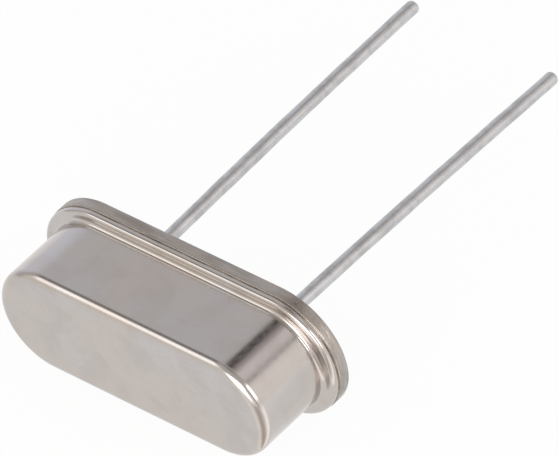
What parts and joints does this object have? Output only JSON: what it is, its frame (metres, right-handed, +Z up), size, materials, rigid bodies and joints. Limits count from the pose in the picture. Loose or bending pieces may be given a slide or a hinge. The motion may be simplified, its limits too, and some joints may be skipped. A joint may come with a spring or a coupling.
{
  "type": "crystal oscillator",
  "caption": "Quartz crystal in a low oblong metal can with a welded flanged base and straight wire leads, lying on its long side.",
  "frame": {"origin": "middle of the base's seating face, between the leads", "axes": "+X along the row of leads, from the left lead to the right; +Y out of the seating face, the way the leads point; +Z up, out of the can's long side, with the part lying on its other long side"},
  "size_m": [0.0108, 0.0163, 0.0044],
  "materials": {
    "nickel_silver": "drawn nickel silver, soft satin shine",
    "plated_steel": "nickel-plated steel, matte sheared rim",
    "tinned_wire": "hot-dipped tin, dull",
    "seal_glass": "dark green-grey sealing glass, fired gloss",
    "quartz": "clear quartz, finely lapped",
    "silver_film": "evaporated silver film",
    "spring_metal": "thin nickel spring strip",
    "silver_adhesive": "cured silver-filled adhesive"
  },
  "bodies": {
    "root": {"cap": "nickel_silver", "base_plate": "plated_steel", "glass_seal_left": "seal_glass", "lead_left": "tinned_wire", "spring_clip_left": "spring_metal", "adhesive_left_front": "silver_adhesive", "adhesive_left_rear": "silver_adhesive", "glass_seal_right": "seal_glass", "lead_right": "tinned_wire", "spring_clip_right": "spring_metal", "adhesive_right_front": "silver_adhesive", "adhesive_right_rear": "silver_adhesive", "quartz_blank": "quartz", "electrode_front": "silver_film", "electrode_rear": "silver_film"}
  },
  "joints": []
}
